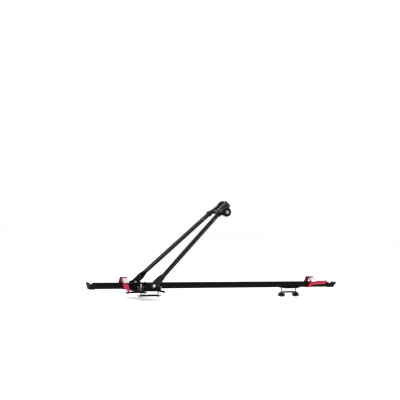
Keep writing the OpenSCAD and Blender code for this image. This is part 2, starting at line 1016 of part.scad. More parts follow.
// Plate of a jaw between y0 and y1: round the screw, the tie and the claw's root
module jaw_plate(y0, y1) {
    hull() {
        at_screw()
        pin_y(screw_boss_r, y0, y1, $fn = 32);
        at_tie()
        pin_y(tie_boss_r, y0, y1, $fn = 32);
        on_jaws()
        for (z = [-1, 1] * (jaw_w / 2 - plate_foot_r - plate_foot_in))
            translate([jaw_reach - plate_foot_back, 0, z])
            pin_y(plate_foot_r, y0, y1, $fn = 32);
    }
}

// Hooked claw round the far half of what is held, with a round tip and rounded corners
module claw() {
    on_jaws()
    intersection() {
        translate([jaw_reach, 0, 0])
        rotate([0, 0, claw_tip]) {
            rotate_extrude(angle = claw_root - claw_tip)
            translate([claw_in, -jaw_w / 2])
            square([jaw_t, jaw_w]);
            translate([claw_in + jaw_t / 2, 0, -jaw_w / 2])
            cylinder(h = jaw_w, r = jaw_t / 2);
        }
        across(0, claw_out + join)
        polygon(rounded([[0, -jaw_w / 2 - join], [claw_end, -jaw_w / 2], [claw_end, jaw_w / 2], [0, jaw_w / 2 + join]],
                        [0, claw_round, claw_round, 0]));
    }
}

// Grooved lining of a claw, far half
module jaw_lining() {
    half = jaw_w / 2 - pad_side;
    ribs = floor((2 * half - pad_groove) / (pad_rib + pad_groove));
    pitch = 2 * half / ribs;
    color("#2b2b2c")
    on_jaws()
    translate([jaw_reach, 0, 0])
    rotate([0, 0, pad_tip])
    rotate_extrude(angle = pad_root - pad_tip)
    polygon(concat([[claw_in - press_fit, half], [claw_in - press_fit, -half]],
                   [for (i = [0 : ribs - 1], k = [0, 1, 2, 3])
                       let (z = -half + i * pitch)
                       [k == 1 || k == 2 ? clamp_r : clamp_r + pad_groove,
                        z + [0, pad_groove / 2, pitch - pad_groove / 2, pitch][k]]]));
}

module jaw_body() {
    difference() {
        jaw_plate(claw_in, jaw_face);
        on_jaws()
        translate([jaw_reach, 0, 0])
        cylinder(h = 2 * jaw_w, r = claw_in + join, center = true);
    }
    claw();
}

module far_jaw() {
    color("#121213")
    on_mast()
    difference() {
        union() {
            jaw_body();
            arm_end(far);
            hull() {
                on_arm(far)
                translate([0, 0, neck_in])
                cylinder(h = collar_len - 2 * neck_in, r = collar_r - neck_in, $fn = 32);
                at_tie()
                pin_y(tie_boss_r - neck_in, claw_in + neck_in, jaw_face, $fn = 32);
            }
        }
        arm_end_cuts(far);
        at_screw() {
            pin_y(screw_d / 2 + run_fit, claw_in - join, claw_out);
            pin_y(clip_r + spot_rim, spot_face, arm_top_y + 2 * collar_r);
        }
        at_tie() {
            pin_y(tie_d / 2 + run_fit, claw_in - join, claw_out);
            pin_y(head_r(tie_d) + spot_rim, spot_face, arm_top_y + 2 * collar_r);
        }
    }
}

module far_jaw_pad() {
    on_mast()
    jaw_lining();
}

module tie_tube() {
    color("#2a2a2b")
    on_mast()
    at_tie()
    difference() {
        pin_y(tie_tube_r, -block_y, claw_in);
        pin_y(tie_d / 2 + run_fit, -block_y - join, claw_in + join);
    }
}

module tie_bolt() {
    color("#b9bcc0")
    on_mast()
    at_tie() {
        pin_y(tie_d / 2, -block_y - block_t, spot_face + nut_h(tie_d) + thread_show);
        pin_y(head_r(tie_d), -block_y - block_t - head_h(tie_d), -block_y - block_t, $fn = 6);
    }
}

module tie_nut() {
    color("#b9bcc0")
    on_mast()
    at_tie()
    translate([0, spot_face + nut_h(tie_d), 0])
    rotate([90, 0, 0])
    hexagon(head_r(tie_d), nut_h(tie_d), tie_d / 2 + run_fit);
}

// Near jaw, which slides on the tie tube

module near_jaw() {
    color("#121213")
    on_mast()
    mirror([0, 1, 0])
    difference() {
        jaw_body();
        at_screw()
        pin_y(jaw_nut_r + press_fit, claw_in - join, claw_out);
        at_tie()
        pin_y(tie_tube_r + run_fit, claw_in - join, claw_out);
    }
}

module near_jaw_pad() {
    on_mast()
    mirror([0, 1, 0])
    jaw_lining();
}

module jaw_nut() {
    color("#a88a4a")
    on_mast()
    at_screw()
    translate([0, -claw_in, 0])
    rotate([90, 0, 0])
    ring(jaw_nut_r, screw_d / 2 + run_fit, jaw_face - claw_in);
}

// Clamp screw and its knob

module clamp_screw() {
    color("#c2c5c9")
    on_mast()
    at_screw()
    pin_y(screw_d / 2, -knob_face_y + lock_len + screw_stop, spot_face + clip_gap + clip_t + thread_show);
}

module clamp_knob() {
    r = knob_d / 2;
    color("#101011")
    on_mast()
    at_screw()
    translate([0, -knob_y, 0])
    rotate([90, 0, 0])
    difference() {
        union() {
            cylinder(h = knob_hub_h + join, r = knob_hub_r);
            translate([0, 0, knob_hub_h])
            rotate_extrude()
            polygon(rounded([[0, 0], [r, 0], [r, knob_h - knob_crown],
                             [lock_r + knob_face_rim, knob_h], [0, knob_h]],
                            [0, knob_crown, knob_round, 0, 0]));
        }
        for (i = [0 : knob_flutes - 1])
            rotate([0, 0, (i + 0.5) * 360 / knob_flutes])
            translate([r + flute_r - flute_in, 0, knob_hub_h - join])
            cylinder(h = knob_h + 2 * join, r = flute_r);
        translate([0, 0, -join])
        cylinder(h = knob_hub_h + knob_h, r = screw_d / 2 + press_fit);
        translate([0, 0, knob_hub_h + knob_h - lock_len - screw_stop])
        cylinder(h = lock_len + screw_stop + join, r = lock_r + run_fit);
    }
}

module thrust_washer() {
    color("#d8d6cf")
    on_mast()
    at_screw()
    translate([0, -block_y - block_t, 0])
    rotate([90, 0, 0])
    ring(knob_hub_r - 1, screw_d / 2 + run_fit, thrust_t);
}

module screw_clip() {
    color("#55575a")
    on_mast()
    at_screw()
    translate([0, spot_face + clip_gap + clip_t, 0])
    rotate([90, 0, 0])
    difference() {
        ring(clip_r, screw_d / 2 + run_fit, clip_t);
        translate([0, -clip_slot / 2, -join])
        cube([2 * clip_r, clip_slot, clip_t + 2 * join]);
    }
}

module lock_core() {
    color("#d9d2bd")
    on_mast()
    at_screw()
    translate([0, -knob_face_y + lock_len, 0])
    rotate([90, 0, 0])
    difference() {
        cylinder(h = lock_len, r = lock_r);
        translate([-key_slot[0] / 2, -key_slot[1] / 2, lock_len - key_slot[2]])
        cube(key_slot + [0, 0, join]);
    }
}

// Straps and cam buckles

// Buckle frame: x across the webbing, y up the near leg, z outwards from the rail
module on_buckle(x) {
    translate([x, leg_foot[0], leg_foot[1]])
    rotate([leg_lean, 0, 0])
    translate([0, buckle_up, back_run])
    children();
}

// Point of the buckle frame in the YZ plane
function buckle_point(y, z) =
    leg_foot + (buckle_up + y) * [cos(leg_lean), sin(leg_lean)]
    + (back_run + z) * [-sin(leg_lean), cos(leg_lean)];

// Solid ribbon along a path, with the direction of its width at each point
module ribbon(path, across_dir) {
    n = len(path);
    rings = [for (i = [0 : n - 1])
        let (t = unit(path[min(i + 1, n - 1)] - path[max(i - 1, 0)]),
             w = across_dir[i] * strap_w / 2,
             m = unit(cross(t, across_dir[i])) * strap_t / 2)
        each [path[i] - w - m, path[i] + w - m, path[i] + w + m, path[i] - w + m]];
    sides = [for (i = [0 : n - 2], k = [0 : 3])
        let (a = 4 * i + k, b = 4 * i + (k + 1) % 4)
        each [[a, b, a + 4], [b, b + 4, a + 4]]];
    ends = [[0, 2, 1], [0, 3, 2], [4 * n - 4, 4 * n - 3, 4 * n - 2], [4 * n - 4, 4 * n - 2, 4 * n - 1]];
    polyhedron(points = rings, faces = [for (f = concat(sides, ends)) [f[2], f[1], f[0]]]);
}

// Webbing from behind the buckle round the rail, over the top, through the buckle and on into its tail.
// Under the rail it lies off its place above by slant along x; tail lists the free end's points.
module strap(x, slant, tail, tail_dirs) {
    loop = [buckle_point(buckle_len / 2 - webbing_end, -back_run), leg_foot, under_lip,
            [-floor_hw - soft_fit - strap_t, floor_leg], [floor_hw + soft_fit + strap_t, floor_leg],
            [-under_lip[0], under_lip[1]], [-leg_foot[0], leg_foot[1]], [-leg_head[0], leg_head[1]],
            leg_head + [-loop_rise, loop_rise],
            buckle_point(buckle_len / 2, 0), buckle_point(-buckle_len / 2 - webbing_exit, 0)];
    run = concat([for (p = loop) [p[1] < rail_z ? x + slant : x, p[0], p[1]]], tail);
    path = rounded_path(run, concat(loop_bends, [for (p = tail) tail_bend]));
    loop_steps = 1 + (len(loop) - 1) * (corner_steps + 1);
    dirs = [for (i = [0 : len(path) - 1])
        let (k = floor((i - loop_steps) / (corner_steps + 1)))
        i < loop_steps ? [1, 0, 0] : tail_dirs[min(k, len(tail) - 1)]];
    color("#d5274b")
    ribbon(path, [for (d = dirs) unit(d)]);
}

module front_strap() {
    strap(front_strap_x, front_slant, [for (p = front_tail) tail_start(front_strap_x) + p], front_tail_dirs);
}

module rear_strap() {
    strap(rear_strap_x, rear_slant, [for (p = rear_tail) tail_start(rear_strap_x) + p], rear_tail_dirs);
}

// Stamped frame: a base plate under the webbing and two ears that hold the cam's pin
module buckle(x) {
    half = strap_w / 2 + buckle_side;
    under = -strap_t / 2 - webbing_gap - buckle_t;
    color("#d7d9dc")
    on_buckle(x)
    difference() {
        union() {
            translate([-half - buckle_t, -buckle_len / 2, under])
            cube([2 * half + 2 * buckle_t, buckle_len, buckle_t]);
            for (side = [-1, 1])
                translate([side * (half + buckle_t / 2) - buckle_t / 2, 0, 0])
                rotate([90, 0, 90])
                linear_extrude(buckle_t)
                polygon(rounded([[-buckle_len / 2, under], [buckle_len / 2, under],
                                 [buckle_len / 2, buckle_back], [buckle_pin_y + buckle_ear_half, buckle_ear],
                                 [buckle_pin_y - buckle_ear_half, buckle_ear], [-buckle_len / 2, buckle_front]],
                                [0, 0, buckle_back, buckle_round, buckle_round, buckle_back]));
        }
        translate([-half - buckle_t - join, buckle_pin_y, buckle_pin_z])
        rotate([0, 90, 0])
        cylinder(h = 2 * (half + buckle_t + join), r = buckle_pin_d / 2 + press_fit);
    }
}

module buckle_pin(x) {
    half = strap_w / 2 + buckle_side + buckle_t + pin_head;
    color("#b9bcc0")
    on_buckle(x)
    translate([-half, buckle_pin_y, buckle_pin_z])
    rotate([0, 90, 0])
    cylinder(h = 2 * half, r = buckle_pin_d / 2);
}

// Cam with its thumb lever, shut: the lever lies down over the webbing
module buckle_cam(x) {
    half = strap_w / 2 + buckle_side - cam_fit;
    color("#e2e4e6")
    on_buckle(x)
    difference() {
        translate([-half, buckle_pin_y, buckle_pin_z])
        rotate([90, 0, 90])
        linear_extrude(2 * half) {
            hull() {
                circle(r = cam_r);
                translate([0, strap_t / 2 + cam_fit + cam_lobe_r - buckle_pin_z])
                circle(r = cam_lobe_r, $fn = 24);
            }
            polygon(rounded([[0, cam_r - lever_t], [0, cam_r], [-lever_len, cam_r + lever_rise],
                             [-lever_len, cam_r + lever_rise - lever_t]], [0, 0, lever_round, lever_round]));
        }
        translate([-half - join, buckle_pin_y, buckle_pin_z])
        rotate([0, 90, 0])
        cylinder(h = 2 * (half + join), r = buckle_pin_d / 2 + run_fit);
    }
}

module front_buckle() {
    buckle(front_strap_x);
}

module front_buckle_pin() {
    buckle_pin(front_strap_x);
}

module front_buckle_cam() {
    buckle_cam(front_strap_x);
}

module rear_buckle() {
    buckle(rear_strap_x);
}

module rear_buckle_pin() {
    buckle_pin(rear_strap_x);
}

module rear_buckle_cam() {
    buckle_cam(rear_strap_x);
}

rail();
front_end_cap();
rear_end_cap();
base_plate();
base_pad();
rail_bolts();
rail_nuts();
near_pivot_bracket();
far_pivot_bracket();
bracket_rivets();
pivot_bolts();
pivot_nuts();
pivot_washers();
rear_saddle();
rear_pad();
rear_clamp_bolts();
stud_washers();
front_strap();
front_buckle();
front_buckle_pin();
rear_strap();
rear_buckle();
rear_buckle_pin();
near_arm();
far_arm();
arm_bushes();
arm_rivets();
near_end_block();
far_jaw();
far_jaw_pad();
tie_tube();
tie_bolt();
tie_nut();
near_jaw();
near_jaw_pad();
jaw_nut();
clamp_screw();
clamp_knob();
thrust_washer();
screw_clip();
lock_core();
near_clamp_plate();
near_clamp_pad();
near_clamp_bolts();
near_wing_nut_front();
near_wing_nut_rear();
far_clamp_plate();
far_clamp_pad();
far_clamp_bolts();
far_wing_nut_front();
far_wing_nut_rear();
rear_clamp_plate();
rear_clamp_pad();
rear_clamp_washers();
rear_knob_front();
rear_knob_rear();
front_buckle_cam();
rear_buckle_cam();
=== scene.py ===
# Roof carrier: a tray rail on two clamped feet, with a folding mast that ends in a screw clamp.
# Shapes are made in millimetres in the model's own frame, and set down in metres.

import json
from math import acos, asin, atan2, ceil, cos, pi, radians, sin, sqrt, tan

import bmesh
import bpy
from mathutils import Matrix, Vector


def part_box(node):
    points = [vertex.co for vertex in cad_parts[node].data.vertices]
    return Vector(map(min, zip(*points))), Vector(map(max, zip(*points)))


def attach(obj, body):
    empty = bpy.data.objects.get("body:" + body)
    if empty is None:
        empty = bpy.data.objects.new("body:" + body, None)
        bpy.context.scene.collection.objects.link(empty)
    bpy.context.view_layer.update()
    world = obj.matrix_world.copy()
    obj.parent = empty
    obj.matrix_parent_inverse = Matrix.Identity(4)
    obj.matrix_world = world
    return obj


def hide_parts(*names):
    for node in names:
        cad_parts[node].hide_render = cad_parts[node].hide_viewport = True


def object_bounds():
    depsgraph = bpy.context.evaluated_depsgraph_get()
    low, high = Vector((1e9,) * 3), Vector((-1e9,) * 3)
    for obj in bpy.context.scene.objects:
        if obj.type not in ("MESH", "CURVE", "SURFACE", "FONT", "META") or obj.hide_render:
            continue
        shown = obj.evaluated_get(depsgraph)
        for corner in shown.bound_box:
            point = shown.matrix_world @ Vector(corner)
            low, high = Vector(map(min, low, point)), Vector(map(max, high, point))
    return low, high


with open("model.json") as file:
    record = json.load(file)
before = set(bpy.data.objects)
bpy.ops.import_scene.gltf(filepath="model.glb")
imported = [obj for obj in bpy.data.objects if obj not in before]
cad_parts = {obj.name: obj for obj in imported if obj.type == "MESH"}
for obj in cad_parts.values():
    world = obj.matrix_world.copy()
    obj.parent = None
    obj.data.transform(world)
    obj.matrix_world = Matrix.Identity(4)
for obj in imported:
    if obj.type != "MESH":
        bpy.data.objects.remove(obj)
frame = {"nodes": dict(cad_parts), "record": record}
cad_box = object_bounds()
record = frame["record"]
body_of = {node: body for body, nodes in record["behaviour"]["bodies"].items() for node in nodes}
slot_of = {part["node"]: part["material_slot"] for part in record["subparts"]}

# Sizes shared by several pieces
rail_front, rail_rear, rail_z, rail_h = -250, 1075, 6, 28
floor_hw, top_hw, lip_hw, rail_wall = 18, 23, 27, 1.6
seat_pitch, bolt_x, clamp_y = 834, 44, 80
stud_r, stud_pitch = 4, 1.25
pivot = Vector((4, 0, 28))
mast_angle = radians(43.3)
arm_base_y, arm_top_y, arm_len, arm_r = 112, 50, 500, 11
lug_w, lug_t, lug_len, tube_start = 34, 5, 42, 78
strap_w, strap_t = 25, 1.8
front_strap_x, rear_strap_x = -103, 962
strap_gap = 0.4

# Fasteners: radius over corners or of a dome, then height
m8_head_r, m8_head_h = 7.52, 5.28
m6_nut_r, m6_nut_h = 5.64, 4.8
carriage_r, carriage_h = 9, 3.4
rivet_r, rivet_h = 5, 2.2
strap_rivet_r, strap_rivet_h, strap_rivet_x = 3, 1.3, 6

# Threads: shares of the pitch; the lead-in keeps the end cuts off the ridge's own points
thread_depth, crest_start, crest_end = 0.58, 0.42, 0.58
thread_lead_in, thread_taper = 1.305, 0.18

# Screw and tie, measured from the arms' ends
screw_out, screw_drop = 34, 12
tie_out, tie_rise = 23, 3

on_mast = Matrix.Translation(pivot) @ Matrix.Rotation(-mast_angle, 4, "Y")
at_screw = on_mast @ Matrix.Translation((arm_len + screw_out, 0, -screw_drop))
at_tie = on_mast @ Matrix.Translation((arm_len + tie_out, 0, tie_rise))
z_to_near = Matrix.Rotation(pi / 2, 4, "X")
z_to_far = Matrix.Rotation(-pi / 2, 4, "X")


# Shaping

def bent(before, corner, after, radius, steps):
    """Points of the arc that rounds one corner of a path."""
    a, p, b = Vector(before), Vector(corner), Vector(after)
    if not radius:
        return [p]
    u, v = (a - p).normalized(), (b - p).normalized()
    opening = acos(max(-1, min(1, u.dot(v))))
    turn = pi - opening
    centre = p + (u + v).normalized() * (radius / sin(opening / 2))
    reach = radius / tan(opening / 2)
    s, e = p + u * reach - centre, p + v * reach - centre
    return [centre + (s * sin(turn * (1 - i / steps)) + e * sin(turn * i / steps)) / sin(turn)
            for i in range(steps + 1)]


def rounded(points, radii, steps=5):
    """Closed outline with each corner rounded by its own radius."""
    n = len(points)
    return [p for i in range(n)
            for p in bent(points[i - 1], points[i], points[(i + 1) % n], radii[i], steps)]


def extruded(outline, push):
    """Solid with a flat outline, pushed out along a vector."""
    bm = bmesh.new()
    face = bm.faces.new([bm.verts.new(p) for p in outline])
    grown = bmesh.ops.extrude_face_region(bm, geom=[face])["geom"]
    bmesh.ops.translate(bm, vec=push, verts=[g for g in grown if isinstance(g, bmesh.types.BMVert)])
    bmesh.ops.recalc_face_normals(bm, faces=bm.faces)
    return bm


def lathe(profile, steps=40):
    """Turned solid about z from (radius, height) points that start and end on the axis."""
    bm = bmesh.new()
    verts = [bm.verts.new((r, 0, z)) for r, z in profile]
    edges = [bm.edges.new(pair) for pair in zip(verts, verts[1:])]
    bmesh.ops.spin(bm, geom=verts + edges, cent=(0, 0, 0), axis=(0, 0, 1), angle=2 * pi, steps=steps,
                   use_merge=True)
    bmesh.ops.remove_doubles(bm, verts=bm.verts, dist=0.001)
    bmesh.ops.recalc_face_normals(bm, faces=bm.faces)
    return bm


def lathe_ring(profile, steps=40):
    """Turned ring about z from a closed (radius, height) profile."""
    bm = bmesh.new()
    verts = [bm.verts.new((r, 0, z)) for r, z in profile]
    edges = [bm.edges.new((verts[i - 1], v)) for i, v in enumerate(verts)]
    bmesh.ops.spin(bm, geom=verts + edges, cent=(0, 0, 0), axis=(0, 0, 1), angle=2 * pi, steps=steps,
                   use_merge=True)
    bmesh.ops.recalc_face_normals(bm, faces=bm.faces)
    return bm


def lofted(rings):
    """Closed skin over rings that hold the same number of points."""
    bm = bmesh.new()
    loops = []
    for ring in rings:
        verts = [bm.verts.new(p) for p in ring]
        loops.append([bm.edges.new((verts[i - 1], v)) for i, v in enumerate(verts)])
    for low, high in zip(loops, loops[1:]):
        bmesh.ops.bridge_loops(bm, edges=low + high)
    for end in (loops[0], loops[-1]):
        bmesh.ops.edgeloop_fill(bm, edges=end)
    bmesh.ops.recalc_face_normals(bm, faces=bm.faces)
    return bm


def thread(radius, pitch, low, high, steps=20):
    """Threaded rod along z whose upper end is tapered."""
    bm = bmesh.new()
    root, start = radius - thread_depth * pitch, low - thread_lead_in * pitch
    ridge = [(root, 0), (radius, crest_start), (radius, crest_end), (root, 1)]
    verts = [bm.verts.new((r, 0, start + z * pitch)) for r, z in ridge]
    edges = [bm.edges.new(pair) for pair in zip(verts, verts[1:])]
    bmesh.ops.spin(bm, geom=verts + edges, cent=(0, 0, 0), axis=(0, 0, 1), dvec=(0, 0, pitch / steps),
                   angle=2 * pi, steps=steps)
    one_turn = bm.verts[:] + bm.edges[:] + bm.faces[:]
    for turn in range(1, ceil((high - low) / pitch) + 2):
        copied = bmesh.ops.duplicate(bm, geom=one_turn)["geom"]
        moved = [g for g in copied if isinstance(g, bmesh.types.BMVert)]
        bmesh.ops.translate(bm, vec=(0, 0, turn * pitch), verts=moved)
    bmesh.ops.remove_doubles(bm, verts=bm.verts, dist=pitch / 200)
    for level, way in ((low, -1), (high, 1)):
        cut = bmesh.ops.bisect_plane(bm, geom=bm.verts[:] + bm.edges[:] + bm.faces[:], plane_co=(0, 0, level),
                                     plane_no=(0, 0, way), clear_outer=True)["geom_cut"]
        bmesh.ops.edgeloop_fill(bm, edges=[g for g in cut if isinstance(g, bmesh.types.BMEdge)])
    for v in bm.verts:
        past = max(0, v.co.z - high + pitch) / pitch
        v.co.x *= 1 - thread_taper * past
        v.co.y *= 1 - thread_taper * past
    bmesh.ops.recalc_face_normals(bm, faces=bm.faces)
    return bm


def hexagon(corner_r, height, steps=8):
    """Hexagon head or nut on z = 0, with the arcs that its chamfered corners leave on its flats."""
    flat = corner_r * cos(pi / 6)
    face_r, chamfer_r, chamfer = 0.95 * flat, 0.97 * flat, radians(30)
    rings = [[], [], [], []]
    for i in range(6 * steps):
        a = 2 * pi * i / (6 * steps)
        r = flat / cos((a % (pi / 3)) - pi / 6)
        drop = (r - chamfer_r) * tan(chamfer)
        way = Vector((cos(a), sin(a), 0))
        rings[0].append(way * face_r)
        rings[1].append(way * r + Vector((0, 0, drop)))
        rings[2].append(way * r + Vector((0, 0, height - drop)))
        rings[3].append(way * face_r + Vector((0, 0, height)))
    return lofted(rings)


def dome(radius, height, skirt=0.4, nick=0.2, steps=7):
    """Low turned head on z = 0 with a short upright edge."""
    ball = (radius ** 2 + (height - skirt) ** 2) / (2 * (height - skirt))
    edge = asin(radius / ball)
    crown = [(ball * sin(edge * i / steps), height - ball + ball * cos(edge * i / steps))
             for i in range(steps, -1, -1)]
    return lathe([(0, 0), (radius - nick, 0), (radius, nick)] + crown)


def ease(bm, width, over=28, segments=2):
    """Rounds the edges that fold by more than an angle."""
    sharp = [e for e in bm.edges if len(e.link_faces) == 2 and e.calc_face_angle() > radians(over)]
    bmesh.ops.bevel(bm, geom=sharp, offset=width, affect="EDGES", segments=segments, profile=0.5, material=-1,
                    clamp_overlap=True)
    return bm


def eased_copy(node, width, over=28, segments=2):
    """Copy of a CAD node with its flat faces made whole and its edges rounded."""
    bm = bmesh.new()
    bm.from_mesh(frame["nodes"][node].data)
    bmesh.ops.scale(bm, vec=(1000, 1000, 1000), verts=bm.verts)
    bmesh.ops.remove_doubles(bm, verts=bm.verts, dist=0.004)
    bmesh.ops.dissolve_limit(bm, angle_limit=radians(0.8), verts=bm.verts, edges=bm.edges)
    return ease(bm, width, over, segments)


def placed(bm, *moves):
    """Moves a shape by one or more matrices, the last one first."""
    for move in reversed(moves):
        bmesh.ops.transform(bm, matrix=move, verts=bm.verts)
    return bm


def shifted(bm, x=0, y=0, z=0):
    bmesh.ops.translate(bm, vec=(x, y, z), verts=bm.verts)
    return bm


def joined(*shapes):
    """One mesh that holds several shapes."""
    whole = bmesh.new()
    for bm in shapes:
        mesh = bpy.data.meshes.new("part")
        bm.to_mesh(mesh)
        bm.free()
        whole.from_mesh(mesh)
        bpy.data.meshes.remove(mesh)
    return whole


def piece(name, bm, *nodes, like=None, smooth_under=35):
    """Sets a shape down as a piece that stands for its nodes, or is added beside the node it is like."""
    node = like or nodes[0]
    bmesh.ops.scale(bm, vec=(0.001, 0.001, 0.001), verts=bm.verts)
    mesh = bpy.data.meshes.new(name)
    bm.to_mesh(mesh)
    bm.free()
    mesh.shade_smooth()
    mesh.set_sharp_from_angle(angle=radians(smooth_under))
    mesh.materials.append(finishes[slot_of[node]])
    obj = bpy.data.objects.new(name, mesh)
    bpy.context.scene.collection.objects.link(obj)
    evened = obj.modifiers.new("even_shading", "WEIGHTED_NORMAL")
    evened.keep_sharp = True
    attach(obj, body_of[node])
    if nodes:
        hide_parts(*nodes)
    return obj


def eased_pieces(widths):
    """Sets down rounded copies of CAD nodes, each with its own edge width."""
    for node, width in widths.items():
        piece(node + "_eased", eased_copy(node, width), node)


# Finishes

class Finish:
    """Node material that reads the piece's own coordinates."""

    def __init__(self, name, **settings):
        self.material = bpy.data.materials.new(name)
        self.material.use_nodes = True
        self.nodes = self.material.node_tree.nodes
        self.links = self.material.node_tree.links
        self.shader = self.nodes["Principled BSDF"]
        self.place = self.nodes.new("ShaderNodeTexCoord")
        for socket, value in settings.items():
            self.shader.inputs[socket.replace("_", " ")].default_value = value

    def add(self, kind, inputs, **settings):
        node = self.nodes.new("ShaderNode" + kind)
        for name, value in settings.items():
            setattr(node, name, value)
        for name, value in inputs.items():
            if isinstance(value, bpy.types.NodeSocket):
                self.links.new(value, node.inputs[name])
            else:
                node.inputs[name].default_value = value
        return node

    def noise(self, scale, detail=3, stretch=(1, 1, 1), source="Object"):
        """Cloudy pattern from 0 to 1; scale counts its patches in a metre."""
        placing = self.add("Mapping", {"Vector": self.place.outputs[source], "Scale": stretch})
        inputs = {"Vector": placing.outputs[0], "Scale": scale, "Detail": detail}
        return self.add("TexNoise", inputs).outputs[0]

    def spread(self, source, low, high, to_low=0, to_high=1):
        """Stretches one range of a pattern over another."""
        return self.add("MapRange", {"Value": source, "From Min": low, "From Max": high, "To Min": to_low,
                                     "To Max": to_high}).outputs[0]

    def math(self, kind, a, b):
        return self.add("Math", {0: a, 1: b}, operation=kind).outputs[0]

    def blend(self, share, first, second):
        """Mix of two colours."""
        return self.add("Mix", {0: share, 6: first, 7: second}, data_type="RGBA").outputs[2]

    def worn_edges(self, width):
        """1 along folded edges, fading out over a width in metres."""
        soft = self.add("Bevel", {"Radius": width}, samples=4).outputs[0]
        hard = self.add("NewGeometry", {}).outputs["Normal"]
        turn = self.add("VectorMath", {0: soft, 1: hard}, operation="DOT_PRODUCT").outputs["Value"]
        return self.spread(turn, 0.995, 0.90)

    def bump(self, height, depth, strength=1.0, below=None):
        inputs = {"Height": height, "Distance": depth, "Strength": strength}
        if below is not None:
            inputs["Normal"] = below
        return self.add("Bump", inputs).outputs[0]

    def set(self, **sources):
        for socket, source in sources.items():
            self.links.new(source, self.shader.inputs[socket.replace("_", " ")])
        return self.material


def grey(value, warmth=0.0):
    return (value * (1 + warmth), value, value * (1 - warmth), 1)


def coated(name, dark, light, rough, peel, peel_depth, specular=0.3, coat=0.0, wear=0.5, worn=0.05):
    """Black coating: cloudy depth, uneven gloss, orange peel, and edges rubbed paler."""
    f = Finish(name, Specular_IOR_Level=specular, Coat_Weight=coat, Coat_Roughness=0.08)
    cloud = f.spread(f.noise(22, 5), 0.3, 0.7)
    scuff = f.spread(f.noise(160, 6, (0.35, 1, 1)), 0.52, 0.68)
    rubbed = f.math("MULTIPLY", f.math("MULTIPLY", f.worn_edges(0.0006), scuff), wear)
    colour = f.blend(rubbed, f.blend(cloud, grey(dark, 0.08), grey(light, 0.08)), grey(worn, 0.03))
    gloss = f.math("ADD", f.spread(cloud, 0, 1, rough - 0.05, rough + 0.05), f.spread(scuff, 0, 1, 0, 0.06))
    skin = f.bump(f.noise(peel, 2), peel_depth)
    grain = f.bump(f.noise(peel * 5, 3), peel_depth / 6, 1.0, skin)
    return f.set(Base_Color=colour, Roughness=gloss, Normal=grain)


def moulded(name, colour, rough, grain, grain_depth, specular=0.3, dust=0.03):
    """Moulded skin: fine grain, cloudy gloss and a little dust."""
    f = Finish(name, Specular_IOR_Level=specular)
    cloud = f.spread(f.noise(30, 5), 0.3, 0.7)
    dusty = f.spread(f.noise(240, 6), 0.55, 0.75, 0, 0.35)
    paler = tuple(c + dust for c in colour[:3]) + (1,)
    tint = f.blend(f.math("ADD", dusty, f.math("MULTIPLY", f.worn_edges(0.0005), 0.3)), colour, paler)
    pits = f.add("TexVoronoi", {"Vector": f.place.outputs["Object"], "Scale": grain}).outputs["Distance"]
    skin = f.bump(pits, grain_depth)
    return f.set(Base_Color=tint, Roughness=f.spread(cloud, 0, 1, rough - 0.06, rough + 0.06),
                 Normal=f.bump(f.noise(grain / 6, 3), grain_depth, 0.6, skin))


def plated(name, bright, dull, rough, brushed=(1, 1, 1), metallic=1.0):
    """Plated or bare metal: mottled tone, fine drawn marks, and brighter edges."""
    f = Finish(name, Metallic=metallic)
    mottle = f.spread(f.noise(130, 5), 0.3, 0.7)
    marks = f.noise(1400, 3, brushed)
    colour = f.blend(f.math("MULTIPLY", f.worn_edges(0.0005), 0.5), f.blend(mottle, dull, bright), bright)
    gloss = f.math("ADD", f.spread(mottle, 0, 1, rough + 0.08, rough - 0.04),
                   f.spread(marks, 0.3, 0.7, -0.03, 0.05))
    return f.set(Base_Color=colour, Roughness=gloss, Normal=f.bump(marks, 0.00004))


def woven(name, yarn, gap):
    """Flat webbing: slanted yarn floats across the piece's own map, in metres."""
    f = Finish(name, Specular_IOR_Level=0.25, Sheen_Weight=0.25, Sheen_Roughness=0.4)
    turned = f.add("Mapping", {"Vector": f.place.outputs["UV"], "Rotation": (0, 0, radians(62))})
    floats = f.add("TexBrick", {"Vector": turned.outputs[0], "Color1": (1, 1, 1, 1),
                                "Color2": (0.8, 0.8, 0.8, 1), "Mortar": (0, 0, 0, 1), "Scale": 1.0,
                                "Mortar Size": 0.00016, "Mortar Smooth": 1.0, "Brick Width": 0.0034,
                                "Row Height": 0.0011})
    fuzz = f.noise(2600, 2, source="UV")
    faded = f.spread(f.noise(60, 4), 0.35, 0.75, 0, 0.22)
    paler = tuple(min(1, 1.25 * c + 0.02) for c in yarn[:3]) + (1,)
    across = f.add("SeparateXYZ", {"Vector": f.place.outputs["UV"]}).outputs["X"]
    selvedge = f.spread(f.math("ABSOLUTE", across, 0), 0.0107, 0.0113, 0, 0.55)
    tone = f.blend(selvedge, f.blend(floats.outputs["Color"], gap, f.blend(faded, yarn, paler)), gap)
    height = f.math("ADD", floats.outputs["Color"], f.math("MULTIPLY", fuzz, 0.35))
    return f.set(Base_Color=tone, Roughness=f.spread(fuzz, 0.3, 0.7, 0.62, 0.82),
                 Normal=f.bump(height, 0.00022))


